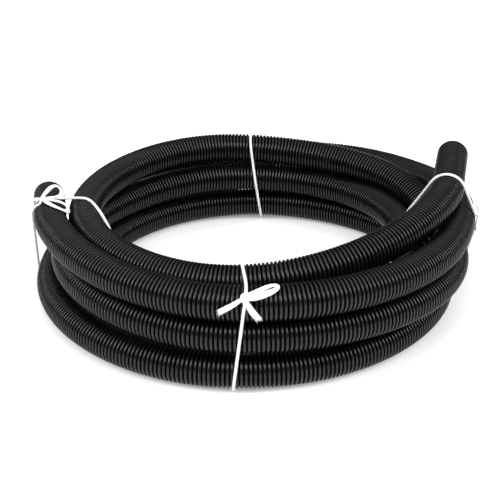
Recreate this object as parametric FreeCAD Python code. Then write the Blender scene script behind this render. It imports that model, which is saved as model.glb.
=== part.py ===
import FreeCAD, Part
import math
import os

# Corrugated vacuum hose, put away as a hand-laid coil that four string ties hold.
# Millimetres and degrees. The ground is z = 0 and the front of the coil faces -Y.

# Hose, measured over its rib crests, and its wall from there to the bore
hose_od = 38.0
hose_wall = 3.0
rib_pitch = 4.5
rib_crest = 1.9
rib_valley = 1.0
rib_depth = 1.6
right_end_ribs = 10
left_end_ribs = 5

# Coil: its mean ring, the air between strands and the flats that the lowest turn stands on
ring_radius = 225.0
strand_clearance = 0.8
flat_depth = 0.5
bore_d = hose_od - 2*hose_wall
strand_step = hose_od + strand_clearance
low_strand = hose_od/2 - flat_depth

# String, drawn flat where it is tight, and its bows
string_width = 3.2
string_thickness = 1.2
string_clearance = 0.4
ground_clearance = 0.1
tail_width = 4.6
bow_half_width = 6.0
bow_slit = 1.2
knot_radius = 4.4

# Lay of the hose from its right end to its left end, at every quarter turn: right, front, left,
# back. Each row is how far the strand lies outside the mean ring and above the lowest turn, in
# strand steps, then how steeply it heads outward and upward, in degrees.
first_turn = -0.01
lay = [
    (0.09, 3.02, -15.4, -2.4),
    (-1.10, 2.05, -0.7, -6.4),
    (-0.49, 2.10, 6.6, -2.1),
    (-0.11, 2.09, -3.0, -0.4),
    (0.13, 1.18, 2.4, -5.6),
    (0.11, 1.03, 1.3, -1.2),
    (-0.06, 1.10, -2.6, -5.0),
    (-0.31, 1.05, -0.3, -3.6),
    (-1.23, 0.87, -0.9, -6.9),
    (-0.98, 0.40, 1.8, -2.8),
    (-0.47, 0.00, 3.2, 0.0),
    (-0.09, 0.00, -2.6, 0.0),
    (-0.17, 0.00, -2.7, 0.0),
    (0.08, 0.00, 2.5, 0.0),
    (0.55, 0.00, 1.8, 0.0),
    (0.99, 1.20, 1.8, 0.9),
    (0.51, 2.11, -9.3, -1.3),
    (0.34, 2.23, -0.3, -1.8),
    (0.66, 2.11, 11.2, -3.4),
]

# Ties: where each stands round the ring from the right by way of the front, how far its outer side
# swings and its top leans the same way round, and where on the outer top strand its knot sits, in
# degrees above level. Bow loops and tails each have an angle from the right, as seen from outside,
# and a length.
ties = {
    "tie_front": {"around": 94.5, "swing": 0.0, "lean": -6.0, "knot": 41.0,
                  "loops": [(12, 31)], "tails": [(209, 28), (302, 27)]},
    "tie_left": {"around": 179.0, "swing": -4.0, "lean": 0.0, "knot": 84.0,
                 "loops": [(138, 26), (48, 25)], "tails": [(98, 22), (290, 15)]},
    "tie_back": {"around": 269.5, "swing": 0.0, "lean": -8.0, "knot": 20.0,
                 "loops": [(160, 26)], "tails": [(215, 24), (320, 24)]},
    "tie_right": {"around": 364.0, "swing": 8.0, "lean": 0.0, "knot": 35.0,
                  "loops": [(20, 24)], "tails": [(200, 20), (300, 22)]},
}

Vector = FreeCAD.Vector
up = Vector(0, 0, 1)


def around(degrees):
    """Outward and forward directions of the ring at an angle from the right."""
    angle = math.radians(degrees)
    outward = Vector(math.cos(angle), -math.sin(angle), 0)
    forward = Vector(-math.sin(angle), -math.cos(angle), 0)
    return outward, forward


def station(number):
    """Point and heading of the hose's centre line at one row of the lay."""
    out, climb_steps, toe, climb = lay[number]
    turn = number/4 if number else first_turn
    outward, forward = around(360*turn)
    point = outward*(ring_radius + out*strand_step) + up*(low_strand + climb_steps*strand_step)
    heading = forward + outward*math.tan(math.radians(toe)) + up*math.tan(math.radians(climb))
    return point, heading.normalize()


def arc_middle(start, heading, end):
    """Middle point of the arc that leaves start along heading and reaches end."""
    chord = end - start
    along = Vector(chord).normalize()
    share = heading.dot(along)
    bulge = (heading - along*share).normalize()
    return (start + end)*0.5 + bulge*(chord.Length/2*math.tan(math.acos(share)/2))


def biarc(start, start_heading, end, end_heading):
    """Two tangent arcs from one station to the next."""
    chord = end - start
    headings = start_heading + end_heading
    a = 2*(1 - start_heading.dot(end_heading))
    b = chord.dot(headings)
    reach = (math.sqrt(b*b + a*chord.dot(chord)) - b)/a
    joint = (start + end + (start_heading - end_heading)*reach)*0.5
    first = Part.Arc(start, arc_middle(start, start_heading, joint), joint)
    second = Part.Arc(joint, arc_middle(end, end_heading*-1, joint), end)
    return [first.toShape(), second.toShape()]


def coil_path():
    """Centre line of the coil, with one hose diameter of straight run at each end."""
    stations = [station(number) for number in range(len(lay))]
    point, heading = stations[0]
    edges = [Part.LineSegment(point - heading*hose_od, point).toShape()]
    for (start, start_heading), (end, end_heading) in zip(stations, stations[1:]):
        edges += biarc(start, start_heading, end, end_heading)
    point, heading = stations[-1]
    edges.append(Part.LineSegment(point, point + heading*hose_od).toShape())
    return edges


def sweep(edges, radius):
    """Tube of one radius along the path."""
    path = Part.Wire(edges)
    start = edges[0].Vertexes[0].Point
    heading = edges[0].tangentAt(edges[0].FirstParameter)
    profile = Part.Wire(Part.makeCircle(radius, start, heading))
    return path.makePipeShell([profile], True, False)


def sample(edges, spacing):
    """Points along the path, with the length of path before each."""
    points = []
    before = 0
    for edge in edges:
        count = max(2, math.ceil(edge.Length/spacing))
        for step in range(count):
            share = step/count
            parameter = edge.getParameterByLength(edge.Length*share)
            points.append((before + edge.Length*share, edge.valueAt(parameter)))
        before += edge.Length
    return points


def least_gap(points):
    """Least air between two strands more than half a turn of hose apart."""
    half_turn = math.pi*(ring_radius - 2*strand_step)
    least = ring_radius
    for number, (before, point) in enumerate(points):
        for after, other in points[number + 1:]:
            if after - before > half_turn:
                least = min(least, point.distanceToPoint(other))
    return least - hose_od


def ribbed_end(ribs, mouth_of, heading):
    """Straight ribbed end of the hose, from the coil's end face to its open mouth."""
    flank = (rib_pitch - rib_crest - rib_valley)/2
    crest_radius = hose_od/2
    valley_radius = crest_radius - rib_depth
    rings = []
    for rib in range(ribs):
        start = rib*rib_pitch
        rings += [(start, crest_radius), (start + rib_crest, crest_radius)]
        rings += [(start + rib_crest + flank, valley_radius)]
        rings += [(start + rib_pitch - flank, valley_radius)]
    length = ribs*rib_pitch + rib_crest
    rings += [(ribs*rib_pitch, crest_radius), (length, crest_radius)]
    circles = [Part.Wire(Part.makeCircle(radius, up*height)) for height, radius in rings]
    tube = Part.makeLoft(circles, True, True).cut(Part.makeCylinder(bore_d/2, length))
    tube.Placement = FreeCAD.Placement(mouth_of, FreeCAD.Rotation(up, heading))
    return tube, mouth_of + heading*length


class Tie:
    """One string tie: its plane, the strands that it holds, its belt and its bow."""

    def __init__(self, plan, points):
        self.plan = plan
        outward, forward = around(plan["around"])
        swing = math.radians(plan["swing"])
        lean = math.radians(plan["lean"])
        self.radial = outward*math.cos(swing) + forward*math.sin(swing)
        across = forward*math.cos(swing) - outward*math.sin(swing)
        self.upward = up*math.cos(lean) + across*math.sin(lean)
        self.normal = self.radial.cross(self.upward)
        self.origin = outward*ring_radius + up*(low_strand + strand_step)
        places = sorted(self.find_strands(points))
        self.corners = lower_hull(places) + lower_hull(places[::-1])
        tilt = string_width/2*abs(math.sin(lean))
        self.floor = (ground_clearance + tilt - self.origin.z)/math.cos(lean)

    def find_strands(self, points):
        """Where the centre lines cross the tie's plane, as radial and upward distances."""
        strands = []
        for (_, point), (_, following) in zip(points, points[1:]):
            before = (point - self.origin).dot(self.normal)
            after = (following - self.origin).dot(self.normal)
            if before*after > 0 or before == after:
                continue
            place = point + (following - point)*(before/(before - after)) - self.origin
            if abs(place.dot(self.radial)) < ring_radius/2:
                strands.append((place.dot(self.radial), place.dot(self.upward)))
        return strands

    def region(self, distance, floor):
        """Area within one distance of the strands' rounded hull and above a floor."""
        corners = [Vector(across, height, 0) for across, height in self.corners]
        polygon = Part.makePolygon(corners + corners[:1])
        above = Part.makePlane(ring_radius, ring_radius, Vector(-ring_radius/2, floor, 0))
        return Part.Face(polygon.makeOffset2D(distance)).common(above)

    def belt(self):
        """Closed band of string round the strands, straight where it passes under them."""
        inner = hose_od/2 + string_clearance
        band = self.region(inner + string_thickness, self.floor)
        band = band.cut(self.region(inner, self.floor + string_thickness))
        band.translate(Vector(0, 0, -string_width/2))
        return band.extrude(Vector(0, 0, string_width))

    def bow(self):
        """Knot, loops and tails, laid flat on the outer top strand."""
        top = max(self.corners, key=lambda corner: corner[0] + corner[1])
        angle = math.radians(self.plan["knot"])
        away = Vector(math.cos(angle), math.sin(angle), 0)
        along = Vector(-math.sin(angle), math.cos(angle), 0)
        foot = Vector(top[0], top[1], 0) + away*(hose_od/2 + string_clearance)
        pieces = [knot()]
        pieces += [bow_loop(angle, length) for angle, length in self.plan["loops"]]
        pieces += [tail(angle, length) for angle, length in self.plan["tails"]]
        bow = pieces[0].fuse(pieces[1:])
        bow.Placement = FreeCAD.Placement(foot, FreeCAD.Rotation(away.cross(along)*-1, along, away))
        return bow

    def place(self, shape):
        """Shape moved from the tie's own plane into the coil's frame."""
        turn = FreeCAD.Rotation(self.radial, self.upward, self.normal)
        placed = shape.copy()
        placed.Placement = FreeCAD.Placement(self.origin, turn).multiply(placed.Placement)
        return placed

    def solid(self):
        return self.place(self.belt().fuse(self.bow()))

    def groove(self):
        """Room for the string where it passes under the lowest turn, between two ribs."""
        width = string_width + 2*string_clearance
        top = self.floor + string_thickness + string_clearance
        corner = Vector(-ring_radius/2, top - hose_od/2, -width/2)
        return self.place(Part.makeBox(ring_radius, hose_od/2, width, corner))


def lower_hull(places):
    """Lower side of the hull of places sorted along one direction, without its last point."""
    hull = []
    for place in places:
        while len(hull) > 1 and turns_right(hull[-2], hull[-1], place):
            hull.pop()
        hull.append(place)
    return hull[:-1]


def turns_right(first, second, third):
    across = (second[0] - first[0])*(third[1] - first[1])
    return across <= (second[1] - first[1])*(third[0] - first[0])


def knot():
    """Rounded knot round the belt's outer half, flat below."""
    ball = Part.makeSphere(knot_radius)
    ball.translate(up*string_thickness)
    size = 4*knot_radius
    below = Part.makeBox(size, size, size, Vector(-size/2, -size/2, string_thickness/2 - size))
    return ball.cut(below)


def bow_loop(angle, length):
    """Flat loop of string with a slit, from the knot outward."""
    near = Vector(bow_half_width, 0, 0)
    far = Vector(length - bow_half_width, 0, 0)
    outer = Part.Face(rounded(near, far, bow_half_width))
    slit = Part.Face(rounded(near, far, bow_slit))
    return turned(outer.cut(slit).extrude(up*string_thickness), angle)


def rounded(start, end, radius):
    """Line with round ends, at one distance from a straight run along X."""
    side = Vector(0, radius, 0)
    cap = Vector(radius, 0, 0)
    edges = [
        Part.LineSegment(start - side, end - side),
        Part.Arc(end - side, end + cap, end + side),
        Part.LineSegment(end + side, start + side),
        Part.Arc(start + side, start - cap, start - side),
    ]
    return Part.Wire([edge.toShape() for edge in edges])


def tail(angle, length):
    """Loose flat end of string."""
    strip = Part.makeBox(length, tail_width, string_thickness, Vector(0, -tail_width/2, 0))
    return turned(strip, angle)


def turned(shape, angle):
    """Shape turned about the knot and lifted clear of the belt below it."""
    shape.rotate(Vector(0, 0, 0), up, angle)
    shape.translate(up*(string_thickness + string_clearance))
    return shape


path = coil_path()
points = sample(path, 4.0)
radii = [edge.Curve.Radius for edge in path[1:-1]]
path_length = sum(edge.Length for edge in path)
print("arc radii of the coil from %.0f to %.0f mm" % (min(radii), max(radii)))
print("least gap of the coil to itself %.2f mm" % least_gap(points))

outer = sweep(path, hose_od/2)
bore = sweep(path, bore_d/2)
coil = outer.cut(bore)
section = math.pi*(hose_od**2 - bore_d**2)/4
print("coil volume %.0f, section times length %.0f" % (coil.Volume, section*path_length))

# The lowest turn is flat where it stands, and grooved where the strings pass under it
size = 4*ring_radius
coil = coil.common(Part.makeBox(size, size, size, Vector(-size/2, -size/2, 0)))
strings = {name: Tie(plan, points) for name, plan in ties.items()}
for string in strings.values():
    coil = coil.cut(string.groove())

right_point, right_heading = station(0)
left_point, left_heading = station(len(lay) - 1)
right_face = right_point - right_heading*hose_od
left_face = left_point + left_heading*hose_od
right_end, right_mouth = ribbed_end(right_end_ribs, right_face, right_heading*-1)
left_end, left_mouth = ribbed_end(left_end_ribs, left_face, left_heading)

nodes = {"hose_coil": coil, "hose_end_right": right_end, "hose_end_left": left_end}
for name, string in strings.items():
    nodes[name] = string.solid()

# The origin is under the middle of the whole part, so every node moves by the same offset
box = FreeCAD.BoundBox()
for shape in nodes.values():
    box.add(shape.BoundBox)
offset = Vector(-(box.XMin + box.XMax)/2, -(box.YMin + box.YMax)/2, 0)
print("ring centre at %.3f, %.3f" % (offset.x, offset.y))
for name, mouth, heading in (("right", right_mouth, right_heading*-1), ("left", left_mouth, left_heading)):
    place = mouth + offset
    print("%s mouth at %.3f %.3f %.3f" % (name, place.x, place.y, place.z), end=" ")
    print("facing %.5f %.5f %.5f" % (heading.x, heading.y, heading.z))
print("whole hose %.0f mm" % (path_length + (right_end_ribs + left_end_ribs)*rib_pitch + 2*rib_crest))

os.makedirs("parts", exist_ok=True)
for name, shape in nodes.items():
    shape.translate(offset)
    print(name, "solids", len(shape.Solids), "valid", shape.isValid(), "volume %.0f" % shape.Volume)
    shape.exportStep("parts/" + name + ".step")
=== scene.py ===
import math
import bpy
import numpy as np
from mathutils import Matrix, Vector


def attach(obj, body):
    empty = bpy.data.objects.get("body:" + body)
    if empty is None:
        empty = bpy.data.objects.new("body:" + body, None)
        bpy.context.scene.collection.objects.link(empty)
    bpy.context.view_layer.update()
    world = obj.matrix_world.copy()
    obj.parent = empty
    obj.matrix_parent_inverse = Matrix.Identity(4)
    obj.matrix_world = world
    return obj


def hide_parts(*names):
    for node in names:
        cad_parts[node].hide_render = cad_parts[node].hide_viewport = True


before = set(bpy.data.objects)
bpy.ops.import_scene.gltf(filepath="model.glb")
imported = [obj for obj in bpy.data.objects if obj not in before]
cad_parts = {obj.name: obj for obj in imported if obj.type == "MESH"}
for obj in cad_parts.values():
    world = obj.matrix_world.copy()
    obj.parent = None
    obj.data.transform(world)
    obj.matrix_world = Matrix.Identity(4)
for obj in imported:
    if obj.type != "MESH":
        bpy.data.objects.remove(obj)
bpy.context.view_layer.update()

MM = 0.001
UP = np.array((0, 0, 1.0))
UV_MAP = "turns_and_lengths"

# Places on a line that are closer together than this, in metres, count as one
SAME_PLACE = 1e-7

# Hose: width over the ribs, number of sides, and the lengths that it is cut into for the export.
# Its heading is read over this reach to each side, so that one short step can't tilt a ring.
HOSE_D = 38.0*MM
HOSE_SIDES = 44
HOSE_PIECES = 5
HEADING_REACH = 3*MM

# One rib: pitch, depth, and its outline as shares of them, from one valley towards the next
RIB_PITCH = 4.5*MM
RIB_DEPTH = 2.5*MM
RIB_OUTLINE = [(0, 0), (0.15, 0), (0.23, 0.52), (0.34, 0.87), (0.575, 1), (0.81, 0.87), (0.92, 0.52)]

# Bore: narrowest width, how much the ribs' hollows add, how deep it is made and its rings for each rib
BORE_D = 32.0*MM
BORE_RISE = 1.2*MM
BORE_SEEN = 120*MM
BORE_RINGS = 4

# Coil: mean ring and its middle in the frame, step between strands, height of the lowest centre line,
# controls for each turn, and spline steps for each control
RING_R = 225.0*MM
RING_MIDDLE = np.array((3.353, -13.009, 0))*MM
STEP = 38.8*MM
LOWEST = 18.5*MM
POINTS_PER_TURN = 16
HOSE_DETAIL = 48

# Straight ends: their lengths, and the shares of them where their controls stand, in hose order
RIGHT_STRAIGHT = 84.9*MM
RIGHT_SHARES = (1, 0.45, 0)
LEFT_STRAIGHT = 62.4*MM
LEFT_SHARES = (0, 0.5, 1)

# Lay of the hose from its right end. Turns are counted from the right by the front, the left and the
# back. Then come strand steps outside the mean ring and above the lowest turn, and degrees outward
# and upward. Near the back right, where the top strands cross, there are rows between the quarters.
LAY = [
    (-0.010, 0.09, 2.99, -15.7, -1.0),
    (0.250, -1.06, 2.07, -1.6, -7.1),
    (0.500, -0.52, 2.06, 5.6, -3.0),
    (0.750, -0.25, 2.11, -4.6, -4.6),
    (0.8125, -0.36, 2.00, 1.0, -3.0),
    (0.875, -0.08, 1.92, 5.5, -3.0),
    (1.000, 0.12, 1.04, 5.7, 2.2),
    (1.250, 0.26, 1.15, 2.9, -1.6),
    (1.500, -0.07, 1.14, -3.3, -7.4),
    (1.750, -0.42, 1.11, 1.6, -4.6),
    (1.8125, -0.36, 1.02, -0.5, -1.0),
    (1.875, -0.55, 1.02, -6.7, 1.0),
    (2.000, -1.10, 0.93, -1.9, -7.5),
    (2.250, -0.98, 0.40, 1.8, -2.8),
    (2.500, -0.52, 0.01, 2.3, -0.5),
    (2.750, -0.13, 0.05, -2.2, 0.2),
    (3.000, -0.16, 0.04, -2.4, 1.6),
    (3.250, 0.10, 0.00, 4.4, -0.5),
    (3.500, 0.55, 0.07, 2.3, -2.1),
    (3.750, 1.10, 1.40, 2.7, 0.5),
    (3.875, 1.47, 1.40, 0.7, -2.6),
    (4.000, 0.34, 2.05, -7.3, -1.4),
    (4.250, 0.42, 2.18, -0.6, -3.0),
    (4.500, 0.53, 2.12, 10.6, -5.1),
]

# String where it is tight: width, sides, distance between rings and spline steps for each control.
# Its plies turn once in this length, and stand out by this share.
STRING_D = 3.2*MM
STRING_SIDES = 14
STRING_RING = 0.7*MM
STRING_DETAIL = 16
PLIES = 3
PLY_TURN = 9*MM
PLY_DEPTH = 0.09

# Belt of a tie: its gap over the ribs, half the width that it takes under the lowest strand, and how
# far from the knot's middle it stops. Round a strand its controls stand at most this turn apart, give
# or take a small share. On a straight run they stand near both ends, and on a short one in its middle.
STRING_LIFT = 0.2*MM
GROOVE_HALF = 0.7*STRING_D
BESIDE_KNOT = 7*MM
BELT_TURN = math.radians(32)
BELT_TURN_OVER = 0.01
BELT_NEAR = 6*MM
BELT_SHORT_RUN = 4*BELT_NEAR

# Frayed ends: the least and most of where a fibre starts across and over the string, as shares of it,
# and of its reach. Then come how much it fans out, strays aside and rises, and how deep it is rooted,
# as shares of the longest. Its form is the share of its reach, lean and width at root, bend and tip.
FRAY_SEED = 5
FRAY_FIBRES = 26
FRAY_LENGTH = 4.5*MM
FIBRE_D = 0.45*MM
FIBRE_SIDES = 3
FIBRE_LEAST = (-0.48, -0.3, 0.25)
FIBRE_MOST = (0.48, 0.3, 1.0)
FIBRE_FAN = 0.7
FIBRE_ASIDE = (-0.12, 0.12)
FIBRE_RISE = (-0.1, 0.25)
FIBRE_ROOT = 0.2
FIBRE_FORM = [(0, 0, 1.0), (0.6, 0.3, 0.8), (1, 0.9, 0.35)]

# Hose plastic: a crest's colours, clean and dusty, and the valley's darker colour, which is painted shade
# in
#  the rib valleys. The crest is at this share of the pitch, and the painted valley shade begins and is full
#  at these distances from it. Specular goes from crest to valley, and its fall in the valleys is painted
#  shade too. Clouds of dust change a crest's colour and gloss, and the fine grain is a bump.
PLASTIC_CLEAN = (0.0045, 0.0045, 0.0048, 1)
PLASTIC_DUSTY = (0.0085, 0.0085, 0.0085, 1)
PLASTIC_VALLEY_SHADE = (0.0015, 0.0015, 0.0015, 1)
CREST_PHASE = 0.56
VALLEY_SHADE_RISE = (0.12, 0.38)
CREST_ROUGHNESS = (0.19, 0.25)
VALLEY_ROUGHER = 0.3
SPECULAR = (0.38, 0.04)
CLOUDS = {"Scale": 38.0, "Detail": 3.0}
CLOUDS_TO_COLOUR = (0.35, 0.7)
CLOUDS_TO_GLOSS = (0.3, 0.75)
GRAIN = {"Scale": 1500.0, "Detail": 2.0}
GRAIN_BUMP = {"Strength": 0.1, "Distance": 0.2*MM}

# String cotton: colours in the shade of its fibres and on them. The fibres are noise that is
# stretched along the string and slanted.
COTTON_SHADE = (0.84, 0.83, 0.81, 1)
COTTON_LIGHT = (0.96, 0.96, 0.95, 1)
COTTON_ROUGHNESS = 0.9
COTTON_SHEEN = 0.3
COTTON_SCATTER = 0.15
COTTON_SCATTER_REACH = (2*MM, 2*MM, 2*MM)
COTTON_SLANT = {"Rotation": (0, 0, 0.5), "Scale": (9, 3.0, 1)}
COTTON_NOISE = {"Scale": 3.0, "Detail": 5.0, "Roughness": 0.7}
COTTON_TO_COLOUR = (0.3, 0.6)
COTTON_BUMP = {"Strength": 0.5, "Distance": 0.4*MM}

# Camera: sensor and lens in mm, where it aims in mm from the ring's middle, how many degrees down it
# looks, and its distance in metres
SENSOR = 36
LENS = 83.0
AIM = (-8.1, -15.6, 56.4)
VIEW_DOWN = 25.19
VIEW_DISTANCE = 1.376

# Light: the world's strength at the sides and above, and the heights of direction, of which 1 is
# straight up, between which it changes. Each lamp has a place, a point it aims at, a width and height
# in metres, and a power in watts.
WHITE = (1, 1, 1, 1)
WORLD_LIGHT = (0.14, 0.45)
WORLD_RISE = (0.35, 0.75)
LAMPS = {
    "overhead": ((0, 0.1, 3.2), (0, 0.1, 0), (3.2, 3.2), 40),
    "front": ((-0.1, -1.7, 2.1), (0, 0, 0.05), (2.8, 1.5), 32),
    "left": ((-2.0, -0.8, 1.5), (0, 0, 0.05), (0.9, 1.1), 34),
    "right": ((2.0, -0.8, 1.5), (0, 0, 0.05), (0.9, 1.1), 34),
}

# Floor: reach to each side, gap under the object, and colour. To camera and gloss it looks lighter by
# the first value near the middle and by the second far off, between these distances in metres.
FLOOR_REACH = 60.0
FLOOR_GAP = 0.2*MM
FLOOR_COLOUR = 0.80
FLOOR_LIFT = (0.27, 0.46)
FLOOR_LIFT_RISE = (0.15, 0.6)

# Ties: where each stands in degrees round the ring, how far its outer side swings and its top leans
# the same way, how far round the outer top strand its knot sits, and how many mm to the right of the
# tie's plane. The drift is how many mm along the hose the string lies off that plane, by degrees round
# the bundle. The string runs from its first end to the belt, round the bundle, and on by the knot and
# the bow to its other end. Those points are mm to the right and up as seen from outside, and above the
# hose, then width and thickness.
TIES = {
    "front": {
        "around": 94.5, "swing": 0, "lean": -6, "knot": 41, "knot_right": 2.8,
        "drift": [
            (0, 0), (48, -1.3), (75, -0.3), (105, 2), (127, 9.3), (160, 9), (250, 0.5), (320, 0.5),
        ],
        "before": [
            (-24.2, -14.8, 1.6, 6.2, 1.9), (-19.0, -11.4, 1.8, 6.0, 2.1), (-12.4, -7.2, 2.6, 5.6, 2.4),
            (-5.5, -2.6, 3.6, 4.6, 2.8), (-0.6, 0.8, 3.4, 3.8, 3.2), (0.4, 4.4, 2.2, 3.5, 3.2),
        ],
        "after": [
            (0, -4.2, 2.4, 3.5, 3.2), (-3.2, -1.6, 3.4, 3.8, 3.2), (-2.8, 2.8, 4.2, 3.8, 3.2),
            (1.0, 3.8, 4.8, 3.8, 3.2), (3.6, 0.8, 4.8, 3.8, 3.2), (1.5, -3.4, 4.6, 3.8, 3.2),
            (-2.2, -2.2, 5.0, 3.8, 3.2), (-0.8, 1.4, 5.6, 4.2, 3.0), (4.4, 3.0, 5.2, 5.0, 2.8),
            (11.6, 7.0, 3.4, 5.6, 2.6), (20.2, 12.4, 2.8, 5.4, 2.4), (26.4, 15.4, 2.5, 4.8, 2.4),
            (31.0, 14.2, 2.3, 4.6, 2.4), (30.0, 9.8, 2.2, 5.0, 2.4), (23.0, 5.8, 2.4, 6.8, 2.4),
            (15.5, 2.9, 2.6, 7.1, 2.5), (8.5, 0.7, 3.4, 6.8, 2.7), (3.3, -0.8, 5.0, 4.6, 2.8),
            (-0.5, -0.3, 6.0, 4.0, 3.0), (0.8, -3.4, 5.2, 4.6, 2.8), (2.8, -7.0, 3.8, 5.8, 2.5),
            (5.6, -12.0, 2.6, 6.7, 2.2), (8.6, -17.4, 1.9, 7.2, 1.9), (11.6, -22.6, 1.7, 7.2, 1.8),
        ],
    },
    "left": {
        "around": 178, "swing": -4, "lean": 4, "knot": 72, "knot_right": 17,
        "drift": [
            (30, 4), (42, 0), (52, -10), (60, -14), (66, -12), (84, -9), (100, -1), (112, -3), (121, -20),
            (128, -45), (133, -70), (139, -90), (146, -104), (180, -110), (218, -88), (250, -40), (290, 10),
            (324, 30),
        ],
        "before": [
            (-52, -21, 1.5, 5.6, 2.2), (-37, -14.5, 1.6, 5.4, 2.4), (-21, -8, 2.6, 5.0, 2.8),
            (-6.0, -3.0, 3.6, 4.2, 3.2), (-0.8, 1.4, 3.0, 3.6, 3.2), (0, 4.4, 2.0, 3.4, 3.2),
        ],
        "after": [
            (3.4, -4.2, 2.2, 3.5, 3.2), (1.5, -2.4, 3.4, 3.8, 3.2), (-2.8, 0.6, 4.4, 3.8, 3.2),
            (-1.6, 3.4, 4.8, 3.8, 3.2), (2.2, 2.6, 4.8, 3.8, 3.2), (2.6, -1.2, 5.0, 3.8, 3.2),
            (-3.0, 0.6, 6.6, 5.0, 2.8), (-12, 4.8, 9, 6.4, 2.6), (-23, 9.2, 12, 6.6, 2.6),
            (-29, 14.2, 12, 6.4, 2.6), (-24, 20, 8, 6.6, 2.6), (-12, 18.4, 5, 6.8, 2.6),
            (-3.5, 10, 4.4, 5.8, 2.6), (0.5, 2.4, 5.6, 4.6, 2.8), (4, 1.5, 5.2, 5.0, 2.8),
            (16, 7.0, 2.8, 6.2, 2.6), (26, 16, 2.6, 6.6, 2.6), (26, 25, 3.4, 6.4, 2.6),
            (14, 29, 5.6, 6.4, 2.6), (7, 25, 6.4, 6.4, 2.6), (5.6, 18, 5, 6.4, 2.6),
            (4.5, 10, 4.0, 5.6, 2.7), (1.6, 3, 5.4, 4.4, 2.8), (-2.6, -1.4, 6.0, 4.2, 2.8),
            (-8, -5.0, 3.6, 4.6, 2.5), (-16, -9.2, 2.0, 6.0, 2.0),
        ],
    },
    "back": {
        "around": 269.5, "swing": 0, "lean": -8, "knot": 20, "knot_right": 0,
        "drift": [
            (0, 2), (84, 3.8), (102, 3.8), (111, 2.5), (120, 1.9), (140, 1.4), (180, 1.6), (300, 1.7),
        ],
        "before": [
            (-20, -12, 1.6, 6.0, 2.0), (-13, -7.4, 2.0, 5.2, 2.3), (-5.5, -2.4, 3.4, 4.4, 2.8),
            (-0.6, 0.6, 3.4, 3.8, 3.2), (0.4, 4.4, 2.2, 3.5, 3.2),
        ],
        "after": [
            (0, -4.2, 2.4, 3.5, 3.2), (3.2, -1.6, 3.4, 3.8, 3.2), (2.8, 2.8, 4.2, 3.8, 3.2),
            (-1.0, 3.8, 4.8, 3.8, 3.2), (-3.6, 0.8, 4.8, 3.8, 3.2), (-1.5, -3.4, 4.6, 3.8, 3.2),
            (2.2, -2.2, 5.0, 3.8, 3.2), (0.8, 1.4, 5.6, 4.2, 3.0), (-4.4, 4.4, 5.0, 4.6, 2.8),
            (-11, 9, 3.2, 4.8, 2.6), (-17.5, 14.2, 2.6, 4.8, 2.4), (-22.5, 13.6, 2.4, 4.4, 2.4),
            (-21.5, 8.4, 2.4, 4.8, 2.4), (-13.5, 3.2, 2.8, 4.8, 2.5), (-4.4, 0.2, 4.8, 4.4, 2.8),
            (0.5, -0.3, 6.0, 4.0, 3.0), (4.0, -3.6, 4.6, 4.4, 2.8), (9.4, -8.2, 2.8, 5.0, 2.3),
            (14.4, -13.4, 1.9, 6.2, 1.9), (18, -17.4, 1.7, 7.0, 1.8),
        ],
    },
    "right": {
        "around": 363, "swing": 9, "lean": 2, "knot": 14, "knot_right": 0,
        "drift": [
            (0, 0), (60, 3), (80, 4), (100, 4), (120, 0), (169, -22), (210, -18), (270, 0),
        ],
        "before": [
            (-18, -8, 1.6, 6.0, 2.0), (-12, -5.4, 2.0, 5.2, 2.3), (-5.5, -2.0, 3.4, 4.4, 2.8),
            (-0.6, 0.6, 3.4, 3.8, 3.2), (0.4, 4.4, 2.2, 3.5, 3.2),
        ],
        "after": [
            (0, -4.2, 2.4, 3.5, 3.2), (-3.2, -1.6, 3.4, 3.8, 3.2), (-2.8, 2.8, 4.2, 3.8, 3.2),
            (1.0, 3.4, 4.8, 3.8, 3.2), (3.6, 0.8, 4.8, 3.8, 3.2), (1.5, -3.4, 4.6, 3.8, 3.2),
            (-2.2, -2.2, 5.0, 3.8, 3.2), (-0.4, 1.0, 5.8, 4.2, 3.0), (5, 2.6, 5.8, 4.6, 2.8),
            (12, 5.0, 5.6, 4.8, 2.6), (19, 7.6, 6.0, 4.8, 2.4), (23.5, 5.4, 6.4, 4.4, 2.4),
            (21, 1.2, 5.6, 4.8, 2.4), (13, -0.8, 4.4, 4.8, 2.5), (4.4, -0.8, 5.2, 4.4, 2.8),
            (-0.5, -0.3, 6.0, 4.0, 3.0), (2.6, -4.4, 4.6, 4.4, 2.8), (6.4, -10, 3.0, 5.0, 2.3),
            (10, -16.4, 2.2, 6.0, 2.0), (12, -21, 2.2, 7.0, 1.8),
        ],
    },
}


def around(turn):
    """Outward and forward directions of the ring, turns counted from the right by the front."""
    angle = math.tau*turn
    outward = np.array((math.cos(angle), -math.sin(angle), 0))
    forward = np.array((-math.sin(angle), -math.cos(angle), 0))
    return outward, forward


def unit(vector):
    return vector/np.linalg.norm(vector)


def station(row):
    """Turn of a row of the lay, its ring radius and height, and how each changes in a turn."""
    turn, out, steps, toe, climb = row
    radius = RING_R + out*STEP
    slopes = math.tau*radius*np.tan(np.radians((toe, climb)))
    return turn, np.array((radius, LOWEST + steps*STEP)), slopes


def ease(before, after, share):
    """Radius and height between two stations, with the slope that each has."""
    (turn, value, slope), (next_turn, next_value, next_slope) = before, after
    span = next_turn - turn
    square, cube = share*share, share**3
    return (
        (2*cube - 3*square + 1)*value + (cube - 2*square + share)*span*slope
        + (3*square - 2*cube)*next_value + (cube - square)*span*next_slope
    )


def end_of(row):
    """Point and heading at one station."""
    turn, (radius, height), (out_slope, up_slope) = row
    outward, forward = around(turn)
    heading = forward*math.tau*radius + outward*out_slope + UP*up_slope
    return RING_MIDDLE + outward*radius + UP*height, unit(heading)


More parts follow.
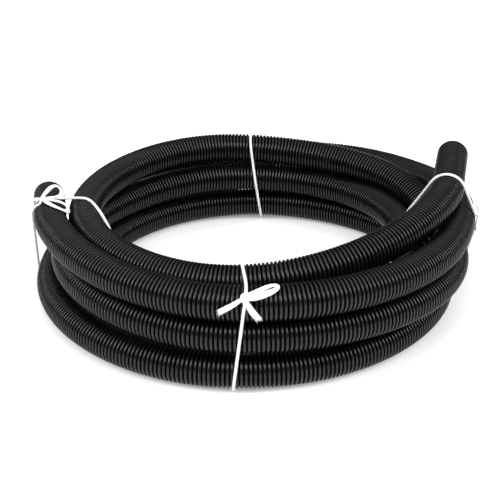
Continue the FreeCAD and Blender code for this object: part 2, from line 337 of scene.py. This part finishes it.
def route():
    """Control points of the hose's line, from its right mouth to its left mouth.

    The coil's controls stand a little outside the ring, so that the spline touches the ring itself.
    """
    stations = [station(row) for row in LAY]
    push = 1/math.cos(math.pi/POINTS_PER_TURN)
    points = []
    for before, after in zip(stations, stations[1:]):
        count = round(POINTS_PER_TURN*(after[0] - before[0]))
        for number in range(count):
            share = (number + 0.5)/count
            radius, height = ease(before, after, share)
            outward, _ = around(before[0] + (after[0] - before[0])*share)
            points.append(RING_MIDDLE + outward*radius*push + UP*height)
    first, first_heading = end_of(stations[0])
    last, last_heading = end_of(stations[-1])
    start = [first - first_heading*RIGHT_STRAIGHT*share for share in RIGHT_SHARES]
    finish = [last + last_heading*LEFT_STRAIGHT*share for share in LEFT_SHARES]
    return start + points + finish


def add_object(name, data):
    """Object of the scene made from a mesh, a curve, a camera or a lamp."""
    made = bpy.data.objects.new(name, data)
    bpy.context.scene.collection.objects.link(made)
    return made


def nurbs(name, points, resolution):
    """Curve object with one open quadratic spline that reaches both ends."""
    data = bpy.data.curves.new(name, "CURVE")
    data.dimensions = "3D"
    data.resolution_u = resolution
    spline = data.splines.new("NURBS")
    spline.points.add(len(points) - 1)
    for number, place in enumerate(points):
        spline.points[number].co = (*place, 1)
    spline.order_u = 3
    spline.use_endpoint_u = True
    return add_object(name, data)


def unit_rows(rows):
    return rows/np.linalg.norm(rows, axis=1)[:, None]


class Line:
    """A smooth line through control points, read by its length."""

    def __init__(self, name, controls, resolution):
        curve = nurbs(name, controls, resolution)
        mesh = bpy.data.meshes.new_from_object(curve)
        points = np.array([vertex.co[:] for vertex in mesh.vertices])
        bpy.data.meshes.remove(mesh)
        bpy.data.objects.remove(curve)
        steps = np.linalg.norm(np.diff(points, axis=0), axis=1)
        before = np.append(0, np.cumsum(steps))
        keep = np.append(True, steps > SAME_PLACE)
        self.points = points[keep]
        self.before = before[keep]
        self.length = before[-1]
        # The spline is read in even steps, and is nearest to each control halfway along its span
        spans = len(controls) - 2
        nearest = np.clip(np.arange(len(controls)) - 0.5, 0, spans)
        self.controls_at = np.interp(nearest, np.linspace(0, spans, len(points)), before)

    def at(self, lengths):
        return np.stack([np.interp(lengths, self.before, axis) for axis in self.points.T], axis=-1)

    def headings(self, lengths, reach):
        ahead = self.at(np.minimum(lengths + reach, self.length))
        behind = self.at(np.maximum(lengths - reach, 0))
        return unit_rows(ahead - behind)

    def across(self, lengths, reach):
        """Two directions across the line at each length, which don't twist along it."""
        headings = self.headings(lengths, reach)
        sides = np.empty_like(headings)
        side = np.cross(headings[0], UP)
        for number, heading in enumerate(headings):
            side = unit(side - heading*(side @ heading))
            sides[number] = side
        return sides, np.cross(headings, sides)


def add_piece(name, mesh, material):
    """Piece of the part made from a mesh."""
    mesh.materials.append(material)
    piece = add_object(name, mesh)
    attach(piece, "root")
    return piece


def skin(name, rings, along):
    """Smooth open tube through rings of points, with a UV map of turns and of lengths along it."""
    count, sides, _ = rings.shape
    ring, side = np.meshgrid(np.arange(count - 1), np.arange(sides), indexing="ij")
    following = (side + 1) % sides
    here, ahead = ring*sides, (ring + 1)*sides
    corners = (here + side, here + following, ahead + following, ahead + side)
    quads = np.stack(corners, axis=-1).reshape(-1, 4)
    mesh = bpy.data.meshes.new(name)
    mesh.from_pydata(rings.reshape(-1, 3).tolist(), [], quads.tolist())
    mesh.polygons.foreach_set("use_smooth", [True]*len(quads))
    turns = np.stack((side, side + 1, side + 1, side), axis=-1)/sides
    lengths = np.stack((along[ring], along[ring], along[ring + 1], along[ring + 1]), axis=-1)
    layer = mesh.uv_layers.new(name=UV_MAP)
    layer.data.foreach_set("uv", np.stack((turns, lengths), axis=-1).ravel())
    mesh.update()
    return mesh


def ribs(first, last):
    """Lengths and radii of the rings that make a run of ribs with rounded crests."""
    phases, heights = np.array(RIB_OUTLINE).T
    lengths = ((np.arange(first, last)[:, None] + phases)*RIB_PITCH).ravel()
    radii = np.tile(HOSE_D/2 - RIB_DEPTH*(1 - heights), last - first)
    return np.append(lengths, last*RIB_PITCH), np.append(radii, HOSE_D/2 - RIB_DEPTH)


def bore(mouth, inward):
    """Lengths and radii of the bore's rings, from the mouth inward, with the ribs' hollows."""
    reach = np.arange(0, BORE_SEEN, RIB_PITCH/BORE_RINGS)
    hollows = BORE_RISE*(0.5 - 0.5*np.cos(math.tau*reach/RIB_PITCH))
    return mouth + inward*reach, BORE_D/2 + hollows


def hose_rings(line, lengths, radii, ties):
    """Rings of the hose, flat where it lies on the ground and let in where a string passes under."""
    places = line.at(lengths)
    sides, overs = line.across(lengths, HEADING_REACH)
    angles = np.linspace(0, math.tau, HOSE_SIDES, endpoint=False)
    circle = sides[:, None]*np.cos(angles)[:, None] + overs[:, None]*np.sin(angles)[:, None]
    rings = places[:, None] + circle*radii[:, None, None]
    rings[..., 2] = np.maximum(rings[..., 2], 0)
    for tie in ties:
        under = np.abs((rings - tie.origin) @ tie.normal) < GROOVE_HALF
        rings[..., 2] = np.where(under, np.maximum(rings[..., 2], STRING_D + STRING_LIFT), rings[..., 2])
    return rings


def hose(line, ties, material):
    """The hose, in lengths that each stay within the exported face count."""
    total = int(line.length/RIB_PITCH)
    bounds = np.linspace(0, total, HOSE_PIECES + 1).astype(int)
    for number, (first, last) in enumerate(zip(bounds, bounds[1:])):
        lengths, radii = ribs(first, last)
        replaced = ["hose_coil"]
        if number == 0:
            inner, inner_radii = bore(0, 1)
            lengths = np.concatenate((inner[::-1], lengths))
            radii = np.concatenate((inner_radii[::-1], radii))
            replaced.append("hose_end_right")
        if number == HOSE_PIECES - 1:
            inner, inner_radii = bore(lengths[-1], -1)
            lengths = np.concatenate((lengths, inner))
            radii = np.concatenate((radii, inner_radii))
            replaced.append("hose_end_left")
        name = "hose_length_%d" % (number + 1)
        rings = hose_rings(line, lengths, radii, ties)
        piece = add_piece(name, skin(name, rings, lengths/RIB_PITCH), material)
        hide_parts(*replaced)
        path = line.at(np.arange(first, last + 1)*RIB_PITCH)


class Tie:
    """One string tie: its plane, the strands that it holds and the string's whole way."""

    def __init__(self, name, plan, line):
        self.name = name
        self.plan = plan
        self.line = line
        outward, forward = around(plan["around"]/360)
        swing = math.radians(plan["swing"])
        lean = math.radians(plan["lean"])
        self.radial = outward*math.cos(swing) + forward*math.sin(swing)
        across = forward*math.cos(swing) - outward*math.sin(swing)
        self.upward = UP*math.cos(lean) + across*math.sin(lean)
        self.normal = np.cross(self.radial, self.upward)
        self.origin = RING_MIDDLE + outward*RING_R + UP*(LOWEST + STEP)
        strands = sorted(self.find_strands())
        self.corners = lower_hull(strands) + lower_hull(strands[::-1])
        self.knot = math.radians(plan["knot"])
        self.knot_right = plan["knot_right"]*MM
        self.top = self.corners[self.knot_corner()]
        self.drift = np.array(plan["drift"], float).T

    def arcs(self):
        """Where the string meets and leaves each corner, as angles round that strand."""
        after = self.corners[1:] + self.corners[:1]
        leave = [math.atan2(a[0] - b[0], b[1] - a[1]) for a, b in zip(self.corners, after)]
        meet = leave[-1:] + leave[:-1]
        return [(start, start + (end - start) % math.tau) for start, end in zip(meet, leave)]

    def knot_corner(self):
        """Number of the corner that the knot lies on."""
        past = [(self.knot - meet) % math.tau - (leave - meet) for meet, leave in self.arcs()]
        return past.index(min(past))

    def find_strands(self):
        """Where the hose crosses the tie's plane: radial and upward distances, and hose length.

        The plane meets the coil on its far side too, and those strands are left out.
        """
        aside = (self.line.points - self.origin) @ self.normal
        before = self.line.before
        strands = []
        for number in np.flatnonzero(aside[:-1]*aside[1:] < 0):
            share = aside[number]/(aside[number] - aside[number + 1])
            length = before[number] + share*(before[number + 1] - before[number])
            place = self.line.at(length) - self.origin
            if abs(place @ self.radial) < RING_R/2:
                strands.append((place @ self.radial, place @ self.upward, length))
        return strands

    def in_plane(self, across, height):
        return self.radial*across + self.upward*height

    def strayed(self, corner, away):
        """Middle of one strand where the string goes over it, a little off the tie's plane."""
        place = self.in_plane(*corner[:2]) + away*HOSE_D/2
        bearing = math.degrees(math.atan2(place @ self.upward, place @ self.radial)) % 360
        drift = np.interp(bearing, *self.drift, period=360)*MM
        return self.line.at(corner[2] + drift)

    def arc(self, corner, start, end):
        """Controls round one strand, from one angle to another."""
        count = max(1, math.ceil((end - start)/BELT_TURN - BELT_TURN_OVER))
        step = (end - start)/count
        reach = (HOSE_D/2 + STRING_LIFT + STRING_D/2)/math.cos(step/2)
        controls = []
        for number in range(count):
            angle = start + step*(number + 0.5)
            away = self.in_plane(math.cos(angle), math.sin(angle))
            controls.append((self.strayed(corner, away) + away*reach, away))
        return controls

    def belt(self):
        """Controls from the knot over the top, round the bundle and back to the knot."""
        first = self.corners.index(self.top)
        corners = self.corners[first:] + self.corners[:first]
        arcs = self.arcs()[first:] + self.arcs()[:first]
        knot = arcs[0][0] + (self.knot - arcs[0][0]) % math.tau
        gap = BESIDE_KNOT/HOSE_D*2
        last = (corners[0], arcs[0][0], max(knot - gap, arcs[0][0]))
        arcs[0] = (min(knot + gap, arcs[0][1]), arcs[0][1])
        controls = []
        for number, (corner, (start, end)) in enumerate(zip(corners, arcs)):
            controls += self.arc(corner, start, end)
            controls += self.span(corner, corners[(number + 1) % len(corners)], end)
        controls += self.arc(*last)
        return [(self.off_ground(place), away) for place, away in controls]

    def span(self, corner, following, angle):
        """Controls near the ends of the straight run between two strands."""
        away = self.in_plane(math.cos(angle), math.sin(angle))
        lift = away*(HOSE_D/2 + STRING_LIFT + STRING_D/2)
        start = self.strayed(corner, away) + lift
        run = self.strayed(following, away) + lift - start
        length = np.linalg.norm(run)
        if length < BELT_SHORT_RUN:
            return [(start + run/2, away)]
        near = run*BELT_NEAR/length
        return [(start + near, away), (start + run - near, away)]

    def off_ground(self, place):
        return np.array((place[0], place[1], max(place[2], STRING_D/2 + STRING_LIFT/2)))

    def on_hose(self, right, above, lift):
        """Place beside the knot, over the curve of the outer top strand, and its way off the hose."""
        length = self.top[2] - right - self.knot_right
        middle = self.line.at(length)
        heading = self.line.headings(np.array([length]), HEADING_REACH)[0]
        angle = self.knot + above/(HOSE_D/2 + STRING_D/2)
        away = self.in_plane(math.cos(angle), math.sin(angle))
        away = unit(away - heading*(away @ heading))
        return middle + away*(HOSE_D/2 + lift), away

    def make(self, material):
        """The string's mesh, swept along its smooth way."""
        before, after = (
            [(*self.on_hose(right*MM, above*MM, lift*MM), width*MM, thickness*MM)
             for right, above, lift, width, thickness in self.plan[part]]
            for part in ("before", "after")
        )
        belt = [(place, away, STRING_D, STRING_D) for place, away in self.belt()]
        controls = before + belt + after
        way = Line("string_line", [control[0] for control in controls], STRING_DETAIL)
        lengths = np.linspace(0, way.length, round(way.length/STRING_RING))
        aways, widths, heights = (
            np.array([control[column] for control in controls], float).reshape(len(controls), -1)
            for column in (1, 2, 3)
        )
        at_rings = [
            np.stack([np.interp(lengths, way.controls_at, axis) for axis in rows.T], axis=-1)
            for rows in (aways, widths, heights)
        ]
        name = "string_" + self.name
        rings = string_rings(way, lengths, *at_rings)
        piece = add_piece(name, skin(name, rings, lengths/PLY_TURN), material)
        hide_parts("tie_" + self.name)
        ends = [fray(way, lengths, at_rings, end, self.name, material) for end in (0, 1)]


def string_rings(way, lengths, aways, widths, heights):
    """Rings of the string: three plies twisted together, spread flat where it is loose."""
    headings = way.headings(lengths, STRING_RING)
    sides = unit_rows(np.cross(aways, headings))
    overs = np.cross(headings, sides)
    angles = np.linspace(0, math.tau, STRING_SIDES, endpoint=False)
    twist = math.tau*lengths/PLY_TURN
    plies = 1 + PLY_DEPTH*np.cos(PLIES*(angles[None] - twist[:, None]))
    wide = (np.cos(angles)*plies*widths/2)[..., None]
    high = (np.sin(angles)*plies*heights/2)[..., None]
    return way.at(lengths)[:, None] + sides[:, None]*wide + overs[:, None]*high


def fray(way, lengths, at_rings, end, name, material):
    """Loose fibres at the first end of a string, 0, or the last, 1."""
    aways, widths, heights = (rows[-end] for rows in at_rings)
    random = np.random.default_rng(FRAY_SEED + end)
    heading = way.headings(lengths, STRING_RING)[-end]*(1 if end else -1)
    side = unit(np.cross(aways, heading))
    over = np.cross(heading, side)
    root = way.at(lengths[-end])
    vertices, faces = [], []
    for _ in range(FRAY_FIBRES):
        spread, rise, reach = random.uniform(FIBRE_LEAST, FIBRE_MOST)
        start = root + side*widths*spread + over*heights*rise - heading*FRAY_LENGTH*FIBRE_ROOT
        lean = side*(spread*FIBRE_FAN + random.uniform(*FIBRE_ASIDE)) + over*random.uniform(*FIBRE_RISE)
        first = len(vertices)
        for along, aside, size in FIBRE_FORM:
            place = start + heading*FRAY_LENGTH*reach*along + lean*FRAY_LENGTH*aside
            for corner in range(FIBRE_SIDES):
                angle = math.tau*corner/FIBRE_SIDES
                vertices.append(place + (side*math.cos(angle) + over*math.sin(angle))*FIBRE_D/2*size)
        tip = len(vertices) - FIBRE_SIDES
        for here in range(first, tip, FIBRE_SIDES):
            ahead = here + FIBRE_SIDES
            for corner in range(FIBRE_SIDES):
                following = (corner + 1) % FIBRE_SIDES
                faces.append([here + corner, here + following, ahead + following, ahead + corner])
        faces.append([tip + corner for corner in range(FIBRE_SIDES)])
    mesh = bpy.data.meshes.new("fray")
    mesh.from_pydata([tuple(vertex) for vertex in vertices], [], faces)
    mesh.update()
    piece = add_piece("fray_%s_%d" % (name, end + 1), mesh, material)
    return piece


def lower_hull(places):
    """Lower side of the hull of places sorted along one direction, without its last point."""
    hull = []
    for place in places:
        while len(hull) > 1 and turns_right(hull[-2], hull[-1], place):
            hull.pop()
        hull.append(place)
    return hull[:-1]


def turns_right(first, second, third):
    """Whether the way through three places turns right, or goes straight on."""
    across = (second[0] - first[0])*(third[1] - first[1])
    return across <= (second[1] - first[1])*(third[0] - first[0])


def node(tree, kind, settings, inputs):
    """Shader node with settings and input values, or links where an output is given."""
    made = tree.nodes.new(kind)
    for name, value in settings.items():
        setattr(made, name, value)
    for key, value in inputs.items():
        if isinstance(value, bpy.types.NodeSocket):
            tree.links.new(value, made.inputs[key])
        else:
            made.inputs[key].default_value = value
    return made


def math_node(tree, operation, *values):
    return node(tree, "ShaderNodeMath", {"operation": operation}, dict(enumerate(values))).outputs[0]


def noise(tree, place, values):
    return node(tree, "ShaderNodeTexNoise", {}, {"Vector": place, **values}).outputs[0]


def ramp(tree, value, source, target=(0.0, 1.0)):
    """Value eased from one range to another, and held at its ends."""
    inputs = {"Value": value, "From Min": source[0], "From Max": source[1],
              "To Min": target[0], "To Max": target[1]}
    return node(tree, "ShaderNodeMapRange", {"interpolation_type": "SMOOTHSTEP"}, inputs).outputs[0]


def mix(tree, share, first, second):
    inputs = {"Factor": share, "A": first, "B": second}
    return node(tree, "ShaderNodeMix", {"data_type": "RGBA"}, inputs).outputs["Result"]


def bump(tree, height, values):
    return node(tree, "ShaderNodeBump", {}, {**values, "Height": height}).outputs[0]


def coordinates(tree, kind):
    return node(tree, "ShaderNodeTexCoord", {}, {}).outputs[kind]


def turns_and_lengths(tree):
    """The UV map that skin gives each tube."""
    return node(tree, "ShaderNodeUVMap", {"uv_map": UV_MAP}, {}).outputs[0]


def new_material(name):
    material = bpy.data.materials.new(name)
    material.use_nodes = True
    tree = material.node_tree
    return material, tree, tree.nodes["Principled BSDF"]


def hose_material():
    """Black moulded plastic: satin crests, rougher valleys with painted shade (darker colour, less
    specular), cloudy dust and fine grain.
    """
    material, tree, shader = new_material("hose_black_plastic")
    lengths = node(tree, "ShaderNodeSeparateXYZ", {}, {"Vector": turns_and_lengths(tree)}).outputs[1]
    phase = math_node(tree, "FRACT", lengths)
    from_crest = math_node(tree, "ABSOLUTE", math_node(tree, "SUBTRACT", phase, CREST_PHASE))
    # The valley mask paints shade into the rib valleys: it darkens the colour and lowers the specular
    # there, and also makes them rougher.
    shaded_valley = ramp(tree, from_crest, VALLEY_SHADE_RISE)
    place = coordinates(tree, "Object")
    cloudy = noise(tree, place, CLOUDS)
    grain = noise(tree, place, GRAIN)
    crest = mix(tree, ramp(tree, cloudy, CLOUDS_TO_COLOUR), PLASTIC_CLEAN, PLASTIC_DUSTY)
    gloss = ramp(tree, cloudy, CLOUDS_TO_GLOSS, CREST_ROUGHNESS)
    rougher = ramp(tree, shaded_valley, (0, 1), (0, VALLEY_ROUGHER))
    for socket, value in (
        ("Base Color", mix(tree, shaded_valley, crest, PLASTIC_VALLEY_SHADE)),
        ("Roughness", math_node(tree, "ADD", gloss, rougher)),
        ("Specular IOR Level", ramp(tree, shaded_valley, (0, 1), SPECULAR)),
        ("Normal", bump(tree, grain, GRAIN_BUMP)),
    ):
        tree.links.new(value, shader.inputs[socket])
    return material


def string_material():
    """White cotton: twisted fibres with a soft sheen."""
    material, tree, shader = new_material("string_white_cotton")
    mapping = {"Vector": turns_and_lengths(tree), **COTTON_SLANT}
    slanted = node(tree, "ShaderNodeMapping", {}, mapping).outputs[0]
    fibres = noise(tree, slanted, COTTON_NOISE)
    colour = mix(tree, ramp(tree, fibres, COTTON_TO_COLOUR), COTTON_SHADE, COTTON_LIGHT)
    tree.links.new(colour, shader.inputs["Base Color"])
    tree.links.new(bump(tree, fibres, COTTON_BUMP), shader.inputs["Normal"])
    shader.inputs["Roughness"].default_value = COTTON_ROUGHNESS
    shader.inputs["Sheen Weight"].default_value = COTTON_SHEEN
    shader.inputs["Subsurface Weight"].default_value = COTTON_SCATTER
    shader.inputs["Subsurface Radius"].default_value = COTTON_SCATTER_REACH
    return material


def camera():
    """The photograph's view: a long lens that looks down on the coil from the front."""
    data = bpy.data.cameras.new("camera")
    data.sensor_width = SENSOR
    data.lens = LENS
    view = add_object("camera", data)
    aim = Vector(RING_MIDDLE) + Vector(AIM)*MM
    down = math.radians(VIEW_DOWN)
    away = Vector((0, -math.cos(down), math.sin(down)))
    view.location = aim + away*VIEW_DISTANCE
    view.rotation_euler = (-away).to_track_quat("-Z", "Y").to_euler()
    bpy.context.scene.camera = view


def area_light(name, place, aim, size, power):
    data = bpy.data.lights.new(name, "AREA")
    data.shape = "RECTANGLE"
    data.size, data.size_y = size
    data.energy = power
    light = add_object(name, data)
    light.location = place
    light.rotation_euler = (Vector(aim) - Vector(place)).to_track_quat("-Z", "Y").to_euler()


def surroundings():
    """World light that is bright above and dim at the sides."""
    world = bpy.data.worlds.new("surroundings")
    world.use_nodes = True
    tree = world.node_tree
    background = tree.nodes["Background"]
    direction = coordinates(tree, "Generated")
    height = node(tree, "ShaderNodeSeparateXYZ", {}, {"Vector": direction}).outputs[2]
    background.inputs["Color"].default_value = WHITE
    tree.links.new(ramp(tree, height, WORLD_RISE, WORLD_LIGHT), background.inputs["Strength"])
    bpy.context.scene.world = world


def floor():
    """A pale floor that takes the coil's shadow, and looks white itself and in gloss."""
    corners = [(-FLOOR_REACH, -FLOOR_REACH), (FLOOR_REACH, -FLOOR_REACH),
               (FLOOR_REACH, FLOOR_REACH), (-FLOOR_REACH, FLOOR_REACH)]
    mesh = bpy.data.meshes.new("floor")
    mesh.from_pydata([(x, y, -FLOOR_GAP) for x, y in corners], [], [(0, 1, 2, 3)])
    material, tree, shader = new_material("floor_white")
    shader.inputs["Base Color"].default_value = (*[FLOOR_COLOUR]*3, 1)
    shader.inputs["Roughness"].default_value = 1
    shader.inputs["Specular IOR Level"].default_value = 0
    shader.inputs["Emission Color"].default_value = WHITE
    rays = node(tree, "ShaderNodeLightPath", {}, {}).outputs
    seen = math_node(tree, "MAXIMUM", rays["Is Camera Ray"],
                     math_node(tree, "MAXIMUM", rays["Is Glossy Ray"], rays["Is Transmission Ray"]))
    place = coordinates(tree, "Object")
    reach = node(tree, "ShaderNodeVectorMath", {"operation": "LENGTH"}, {0: place}).outputs["Value"]
    lift = ramp(tree, reach, FLOOR_LIFT_RISE, FLOOR_LIFT)
    tree.links.new(math_node(tree, "MULTIPLY", seen, lift), shader.inputs["Emission Strength"])
    mesh.materials.append(material)
    piece = add_object("floor", mesh)


def studio():
    surroundings()
    floor()
    for name, (place, aim, size, power) in LAMPS.items():
        area_light(name, place, aim, size, power)


camera()
hose_line = Line("hose_line", route(), HOSE_DETAIL)
ties = [Tie(name, plan, hose_line) for name, plan in TIES.items()]
hose(hose_line, ties, hose_material())
cotton = string_material()
for tie in ties:
    tie.make(cotton)
studio()
bpy.context.scene.view_settings.view_transform = "Standard"
